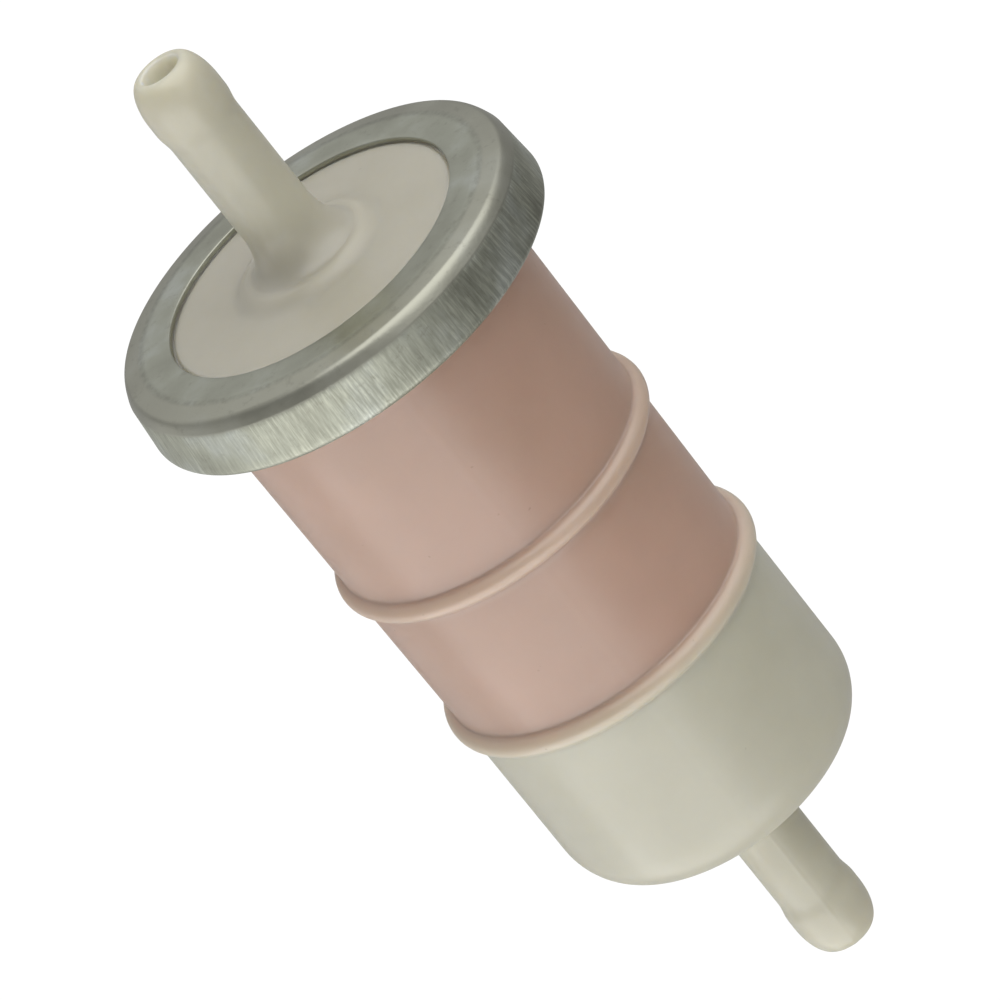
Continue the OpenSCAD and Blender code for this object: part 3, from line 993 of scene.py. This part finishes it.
def make_camera():
    """A camera that looks down at the filter and is rolled about its own axis."""
    tilt, roll = math.radians(view_elevation), math.radians(view_roll)
    data = bpy.data.cameras.new("camera")
    data.lens, data.sensor_width = lens_mm, sensor_mm
    data.clip_start, data.clip_end = 0.05, 20
    camera = bpy.data.objects.new("camera", data)
    bpy.context.scene.collection.objects.link(camera)
    back = Vector((0, -math.cos(tilt), math.sin(tilt)))
    level, upright = Vector((1, 0, 0)), Vector((0, math.sin(tilt), math.cos(tilt)))
    right = math.cos(roll) * level - math.sin(roll) * upright
    up = math.sin(roll) * level + math.cos(roll) * upright
    place = Vector((aim_side * MM, 0, aim_height * MM)) + back * camera_distance
    turn = Matrix((right, up, back)).transposed().to_4x4()
    camera.matrix_world = Matrix.Translation(place) @ turn
    bpy.context.scene.camera = camera
    return camera


camera = make_camera()
print("camera at", [round(c, 3) for c in camera.location], "metres")

# %% [markdown]
# ## The floor
#
# The filter seems to lie on nothing but white paper. A real floor under an upright model would
# throw its light back from one side only, so this one glows a little for the camera and lets
# every other ray through, and the surround lights the filter from below as well.

# %% The floor
white = 1.05


def make_floor():
    """A wide white floor for the camera, which lets the studio's light pass."""
    size = 6.0
    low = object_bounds()[0].z
    mesh = bpy.data.meshes.new("floor")
    corners = [(-size, -size, low), (size, -size, low), (size, size, low), (-size, size, low)]
    mesh.from_pydata(corners, [], [(0, 1, 2, 3)])
    floor = bpy.data.objects.new("floor", mesh)
    bpy.context.scene.collection.objects.link(floor)
    material = bpy.data.materials.new("white floor")
    material.use_nodes = True
    tree = material.node_tree
    tree.nodes.clear()
    ray = tree.nodes.new("ShaderNodeLightPath").outputs["Is Camera Ray"]
    clear = tree.nodes.new("ShaderNodeBsdfTransparent")
    glow = add_node(tree, "ShaderNodeEmission", Strength=white)
    both = add_node(tree, "ShaderNodeMixShader", Fac=ray)
    tree.links.new(clear.outputs[0], both.inputs[1])
    tree.links.new(glow.outputs[0], both.inputs[2])
    add_node(tree, "ShaderNodeOutputMaterial", Surface=both.outputs[0])
    mesh.materials.append(material)
    floor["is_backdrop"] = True
    return floor


floor = make_floor()
print("floor", [round(side, 1) for side in floor.dimensions], "metres")

# %% [markdown]
# ## The light
#
# The light is a soft surround with six wide panels in it, as in a light tent. Each panel is a
# rectangle of directions with soft edges, so its place, size and strength are easy to move. A
# large one stands low on the left of the camera and puts the broad sheen on the left half of
# the cup, and a weaker one beside it lights the far left edge. A third one hangs overhead and
# draws the bright line on the ring's shoulder, and a dim one at the back keeps the far rim
# from going dark. The last two have a strength below zero. They take light away, as the black
# cards of a studio do, and give the round shapes their shading.

# %% The studio light
def panel(tree, direction, azimuth, elevation, width, height, edge, strength):
    """A rectangle of directions; azimuth 0 is the camera's side, sizes are half angles."""
    turn, tilt = math.radians(azimuth), math.radians(elevation)
    centre = Vector((math.sin(turn) * math.cos(tilt), -math.cos(turn) * math.cos(tilt),
                     math.sin(tilt)))
    across = Vector((math.cos(turn), math.sin(turn), 0))
    ahead = vector_node(tree, "DOT_PRODUCT", direction, centre)
    depth = math_node(tree, "MAXIMUM", ahead, 0.001)
    share = math_node(tree, "GREATER_THAN", ahead, 0.0)
    for axis, half in ((across, width), (centre.cross(across), height)):
        offset = math_node(tree, "DIVIDE", vector_node(tree, "DOT_PRODUCT", direction, axis),
                           depth)
        inside = map_range(tree, math_node(tree, "ABSOLUTE", offset),
                           math.tan(math.radians(half - edge)),
                           math.tan(math.radians(half + edge)), 1.0, 0.0)
        share = math_node(tree, "MULTIPLY", share, inside)
    return math_node(tree, "MULTIPLY", share, strength)


# azimuth, elevation, half width, half height and soft edge in degrees, then the strength
panels = {
    "low on the left": (-44, -42, 42, 34, 3, 1.35),
    "far left": (-112, -25, 26, 24, 8, 0.40),
    "overhead": (60, 62, 40, 38, 8, 1.30),
    "at the back": (-175, 44, 50, 18, 8, 0.30),
    "dark card on the right": (80, -24, 42, 22, 8, -0.20),
    "dark card on the left": (-50, 26, 32, 20, 6, -0.15)}


def make_world():
    """The surround and its panels; to the camera itself it is plain white."""
    world = bpy.data.worlds.new("studio")
    world.use_nodes = True
    bpy.context.scene.world = world
    tree = world.node_tree
    tree.nodes.clear()
    direction = tree.nodes.new("ShaderNodeTexCoord").outputs["Generated"]
    parts = add_node(tree, "ShaderNodeSeparateXYZ", Vector=direction)
    level = map_range(tree, parts.outputs["X"], 0.0, 0.7, 0.42, 0.36)
    for values in panels.values():
        level = math_node(tree, "ADD", level, panel(tree, direction, *values))
    ray = tree.nodes.new("ShaderNodeLightPath").outputs["Is Camera Ray"]
    seen = math_node(tree, "MULTIPLY_ADD", math_node(tree, "SUBTRACT", white, level), ray, level)
    back = add_node(tree, "ShaderNodeBackground", Strength=seen)
    back.inputs["Color"].default_value = (1, 1, 1, 1)
    add_node(tree, "ShaderNodeOutputWorld", Surface=back.outputs[0])


make_world()
bpy.context.scene.view_settings.view_transform = "Standard"
print("panels:", ", ".join(panels))
